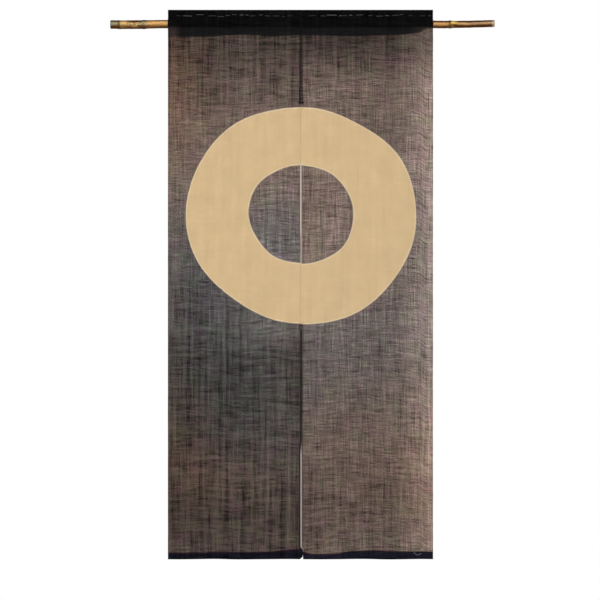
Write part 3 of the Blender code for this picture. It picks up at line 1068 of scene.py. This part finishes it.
def add_thread(bm, points, across, width, depth, shine_and_tone, sides=8):
    """A flattened thread along points. Across is the direction of its width."""
    layer = bm.verts.layers.float.get("shine_and_tone") or bm.verts.layers.float.new("shine_and_tone")
    rings = []
    for before, point, after in zip(points[:1] + points, points, points[1:] + points[-1:]):
        along = (after - before).normalized()
        side = (across - along * across.dot(along)).normalized()
        up = along.cross(side)
        turn = Matrix((side * width / 2, up * depth / 2, along)).transposed().to_4x4()
        turn.translation = point
        ring = bmesh.ops.create_circle(bm, segments=sides, radius=1.0, matrix=turn)["verts"]
        for vert in ring:
            vert[layer] = shine_and_tone
        rings.append(ring)
    hoops = [list(dict.fromkeys(edge for vert in ring for edge in vert.link_edges))
             for ring in rings]
    for first, second in zip(hoops, hoops[1:]):
        bmesh.ops.bridge_loops(bm, edges=first + second)
    for ring in (rings[0], rings[-1]):
        bmesh.ops.contextual_create(bm, geom=ring)


def add_stitch(bm, start, end, out, across, width, depth, shine_and_tone):
    """One stitch over a surface: it comes up, lies on the cloth and goes down again."""
    span = end - start
    points = [start + span * share + out * depth * rise for share, rise in STITCH_RISE]
    add_thread(bm, points, across, width, depth, shine_and_tone)


def finish_stitches(name, bm, material):
    bmesh.ops.recalc_face_normals(bm, faces=bm.faces)
    dress(new_object(name, bm, material))


def build_header_stitches(sizes, material):
    """Running stitches through both layers of the header, on the front and the back."""
    rng = random.Random(31)
    width = sizes.header_thread
    depth = width * 0.55
    face = LAYER_HALF + sizes.cloth / 2
    for name, side in (("header_stitches_left", -1), ("header_stitches_right", 1)):
        bm = bmesh.new()
        row = [dash for dash in DASHES if dash.start * side > 0]
        for dash in row:
            tilt = rng.uniform(-0.0006, 0.0006)
            start = Vector((dash.start / 1000, -face, dash.rise / 1000 - tilt))
            end = Vector((dash.end / 1000, -face, dash.rise / 1000 + tilt))
            # A shinier stitch is painted lighter: a painted highlight
            add_stitch(bm, start, end, FRONT, UPWARDS, width * (0.75 + 0.35 * dash.shine), depth,
                       0.25 + 0.75 * dash.shine)
        for before, after in zip(row, row[1:]):
            start = Vector((before.end / 1000, face, before.rise / 1000))
            end = Vector((after.start / 1000, face, after.rise / 1000))
            add_stitch(bm, start, end, BACK, UPWARDS, width, depth, 0.5 + 0.3 * rng.random())
        finish_stitches(name, bm, material)


def point_on(path, goal):
    """Point and direction at a distance along a path of points (y, z)."""
    for start, end in zip(path, path[1:]):
        length = math.dist(start, end)
        if goal <= length:
            way = ((end[0] - start[0]) / length, (end[1] - start[1]) / length)
            return between(start, end, goal / length), way
        goal -= length
    return None, None


def build_seam_stitches(sizes, material):
    """Whip stitches that join the panels, and the tacks over the ring and at its foot."""
    rng = random.Random(12)
    width = sizes.seam_thread
    depth = width * 0.8
    path = [point for point in section(0.0, LEFT_HEM_EDGE) if point[1] > SEAM_FOOT - 0.02]
    bm = bmesh.new()
    travel = 0.004
    while True:
        place, way = point_on(path, travel)
        if place is None or (place[0] < 0 and place[1] < SEAM_FOOT):
            break
        if place[0] > 0 or place[1] > TOP_CENTRE - 0.004:
            travel += 0.004
            continue
        out = Vector((0.0, way[1], -way[0]))
        down = Vector((0.0, way[0], way[1]))
        centre = Vector((0.0, place[0], place[1])) + out * (sizes.cloth / 2)
        reach = rng.uniform(0.0038, 0.0050)
        slant = rng.uniform(0.0026, 0.0042)
        start = centre + Vector((-reach, 0, 0)) + down * slant
        end = centre + Vector((reach * rng.uniform(0.8, 1.0), 0, 0)) - down * slant
        below_sleeve = place[1] < SLEEVE_FOOT - 0.01
        shine_and_tone = rng.uniform(0.6, 1.6) if below_sleeve else 0.35
        add_stitch(bm, start, end, out, down, width * rng.uniform(0.9, 1.3), depth, shine_and_tone)
        if below_sleeve:
            back = centre - out * sizes.cloth
            add_stitch(bm, back + Vector((-reach, 0, 0)) - down * slant * 0.4,
                       back + Vector((reach, 0, 0)) + down * slant * 0.4, -out, down, width, depth,
                       rng.uniform(0.6, 1.4))
        travel += rng.uniform(0.0088, 0.0108)
    core = [Vector((0.0, y, z)) for y, z in read_path(path, 480)
            if y < 0 and SEAM_FOOT - 0.002 < z < TOP_CENTRE - 0.0008]
    add_thread(bm, core, RIGHTWARDS, 0.0011, 0.0009, 0.8, sides=6)

    # A row of thread down each side of the seam's last stretch, then the two tacks
    front = -LAYER_HALF - sizes.cloth / 2
    for x in (-0.0045, 0.0052):
        z = -0.168
        while z > SEAM_FOOT + 0.004:
            length = rng.uniform(0.0055, 0.0080)
            end = Vector((x + rng.uniform(-0.0005, 0.0005), front, z - length))
            add_stitch(bm, Vector((x, front, z)), end, FRONT, RIGHTWARDS, width * 0.9, depth,
                       rng.uniform(0.7, 1.3))
            z -= length + 0.0012
    for tack, reach, count in ((SEAM_FOOT - 0.0012, 0.0066, 3), (LOWER_TACK, 0.0034, 2)):
        for step in range(count):
            z = tack + (step - (count - 1) / 2) * width * 0.85
            y = front + relief(-0.0005, z, LEFT)
            add_stitch(bm, Vector((-reach, y, z)), Vector((reach, y, z)), FRONT, UPWARDS,
                       width * 1.1, depth, rng.uniform(0.6, 1.0))
    finish_stitches("seam_stitches", bm, material)


def build_hem_stitches(sizes, material, loose):
    """Small hemming stitches along each turned hem, and the loose thread end on the right."""
    rng = random.Random(5)
    width = sizes.hem_thread
    depth = width * 0.8
    face = LAYER_HALF + sizes.cloth / 2
    for name, panel, low, high in (("hem_stitches_left", LEFT, -0.348, -0.010),
                                   ("hem_stitches_right", RIGHT, 0.010, 0.343)):
        bm = bmesh.new()
        x = low
        while x < high:
            z = read_level(panel.hem_edge, x)
            depth_here = relief(x, z, panel)
            front = Vector((x, depth_here - face, z - 0.0012))
            add_stitch(bm, front, front + Vector((0.0007, 0, -0.0026)), FRONT, RIGHTWARDS, width,
                       depth, rng.uniform(0.8, 2.4))
            start = Vector((x, depth_here - LAYER_HALF + sizes.cloth / 2, z + 0.0016))
            end = Vector((x + 0.0042, depth_here + face, z - 0.0022))
            add_stitch(bm, start, end, BACK, (RIGHTWARDS + UPWARDS).normalized(), width, depth,
                       rng.uniform(0.8, 1.8))
            x += rng.uniform(0.0085, 0.0125)
        finish_stitches(name, bm, material)
    bm = bmesh.new()
    path = [(x, relief(x, z, RIGHT) - face - 0.0007, z) for x, z in THREAD_END]
    points = [Vector(point) for point in read_path(path, 22)]
    add_thread(bm, points, Vector((0.3, 0, 1)).normalized(), 0.0009, 0.0008, 0.8)
    finish_stitches("thread_end", bm, loose)


def build_floor(sizes, colours):
    bm = bmesh.new()
    bmesh.ops.create_circle(bm, cap_ends=True, segments=96, radius=3.0,
                            matrix=Matrix.Translation((0, 0, -sizes.floor_drop)))
    floor = new_object("floor", bm, floor_material(colours))


def build_camera(sizes):
    """Square on to the curtain, as in the photograph."""
    camera = bpy.data.cameras.new("camera")
    camera.sensor_width = 36.0
    camera.lens = camera.sensor_width * sizes.view_distance / sizes.view_width
    obj = bpy.data.objects.new("camera", camera)
    obj.location = (VIEW_X, -sizes.view_distance, VIEW_Z)
    obj.rotation_euler = (math.radians(90), 0, 0)
    bpy.context.scene.collection.objects.link(obj)
    bpy.context.scene.camera = obj


def add_light(name, place, aim, size, power):
    light = bpy.data.lights.new(name, "AREA")
    light.shape = "DISK"
    light.size = size
    light.energy = power
    obj = bpy.data.objects.new(name, light)
    obj.location = place
    obj.rotation_euler = (Vector(aim) - Vector(place)).to_track_quat("-Z", "Y").to_euler()
    bpy.context.scene.collection.objects.link(obj)


def build_world():
    """White behind the curtain, and a softer light on it from all round."""
    world = bpy.data.worlds.new("studio")
    bpy.context.scene.world = world
    world.use_nodes = True
    nodes, links = world.node_tree.nodes, world.node_tree.links
    rays = nodes.new("ShaderNodeLightPath")
    strength = nodes.new("ShaderNodeMapRange")
    strength.inputs["To Min"].default_value = 0.42
    strength.inputs["To Max"].default_value = 1.0
    background = nodes["Background"]
    background.inputs["Color"].default_value = (1, 1, 1, 1)
    links.new(rays.outputs["Is Camera Ray"], strength.inputs["Value"])
    links.new(strength.outputs["Result"], background.inputs["Strength"])


def settings(context):
    """The sizes and the colours that the sidebar shows."""
    return context.scene.noren_sizes, context.scene.noren_colours


class NOREN_OT_stage(bpy.types.Operator):
    """Sets the floor, the soft light and the camera"""

    bl_idname = "noren.stage"
    bl_label = "Stage"

    def execute(self, context):
        sizes, colours = settings(context)
        build_floor(sizes, colours)
        build_camera(sizes)
        build_world()
        middle = (0, 0, -0.7)
        add_light("key", (-1.9, -3.6, 0.9), middle, 2.2, 120)
        add_light("fill", (2.6, -3.2, -0.2), middle, 2.6, 42)
        add_light("back", (0.6, 3.8, 0.8), middle, 2.6, 80)
        context.scene.view_settings.view_transform = "Standard"
        return {"FINISHED"}


class NOREN_OT_rod(bpy.types.Operator):
    """Makes the bamboo rod"""

    bl_idname = "noren.rod"
    bl_label = "Rod"

    def execute(self, context):
        build_rod(bamboo_material())
        return {"FINISHED"}


class NOREN_OT_panels(bpy.types.Operator):
    """Makes the two panels of hemp"""

    bl_idname = "noren.panels"
    bl_label = "Panels"

    def execute(self, context):
        sizes, colours = settings(context)
        material = hemp_material(sizes, colours)
        for panel in (LEFT, RIGHT):
            build_panel(panel, sizes, colours, material)
        return {"FINISHED"}


class NOREN_OT_header_stitches(bpy.types.Operator):
    """Sews the running stitches of the header"""

    bl_idname = "noren.header_stitches"
    bl_label = "Header stitches"

    def execute(self, context):
        sizes, colours = settings(context)
        build_header_stitches(sizes, thread_material("faded thread", colours.header_thread))
        return {"FINISHED"}


class NOREN_OT_seam_stitches(bpy.types.Operator):
    """Sews the two panels together above the ring"""

    bl_idname = "noren.seam_stitches"
    bl_label = "Seam stitches"

    def execute(self, context):
        sizes, colours = settings(context)
        build_seam_stitches(sizes, thread_material("seam thread", colours.seam_thread))
        return {"FINISHED"}


class NOREN_OT_hem_stitches(bpy.types.Operator):
    """Sews the hems and leaves the loose thread end"""

    bl_idname = "noren.hem_stitches"
    bl_label = "Hem stitches"

    def execute(self, context):
        sizes, colours = settings(context)
        build_hem_stitches(sizes, thread_material("hem thread", colours.seam_thread),
                           thread_material("loose thread", colours.loose_thread))
        return {"FINISHED"}


OPERATORS = (NOREN_OT_stage, NOREN_OT_rod, NOREN_OT_panels, NOREN_OT_header_stitches,
             NOREN_OT_seam_stitches, NOREN_OT_hem_stitches)


class NOREN_PT_sidebar(bpy.types.Panel):
    """Lists the curtain's sizes, colours and pieces."""

    bl_idname = "NOREN_PT_sidebar"
    bl_label = "Noren Curtain"
    bl_space_type = "VIEW_3D"
    bl_region_type = "UI"
    bl_category = "Noren"

    def draw(self, context):
        for group in settings(context):
            column = self.layout.column(align=True)
            for name in type(group).__annotations__:
                column.prop(group, name)
        column = self.layout.column(align=True)
        for operator in OPERATORS:
            column.operator(operator.bl_idname)


CLASSES = (NorenSizes, NorenColours, *OPERATORS, NOREN_PT_sidebar)


def register():
    for cls in CLASSES:
        bpy.utils.register_class(cls)
    bpy.types.Scene.noren_sizes = PointerProperty(type=NorenSizes)
    bpy.types.Scene.noren_colours = PointerProperty(type=NorenColours)


def unregister():
    del bpy.types.Scene.noren_colours
    del bpy.types.Scene.noren_sizes
    for cls in reversed(CLASSES):
        bpy.utils.unregister_class(cls)


def remove_spare_objects():
    """Takes away what the file held before the frame."""
    kept = set(frame["bodies"].values()) | set(frame["nodes"].values())
    for obj in list(bpy.data.objects):
        if obj not in kept:
            bpy.data.objects.remove(obj, do_unlink=True)


def main():
    register()
    remove_spare_objects()
    bpy.ops.noren.stage()
    bpy.ops.noren.rod()
    bpy.ops.noren.panels()
    bpy.ops.noren.header_stitches()
    bpy.ops.noren.seam_stitches()
    bpy.ops.noren.hem_stitches()


if __name__ == "__main__":
    main()
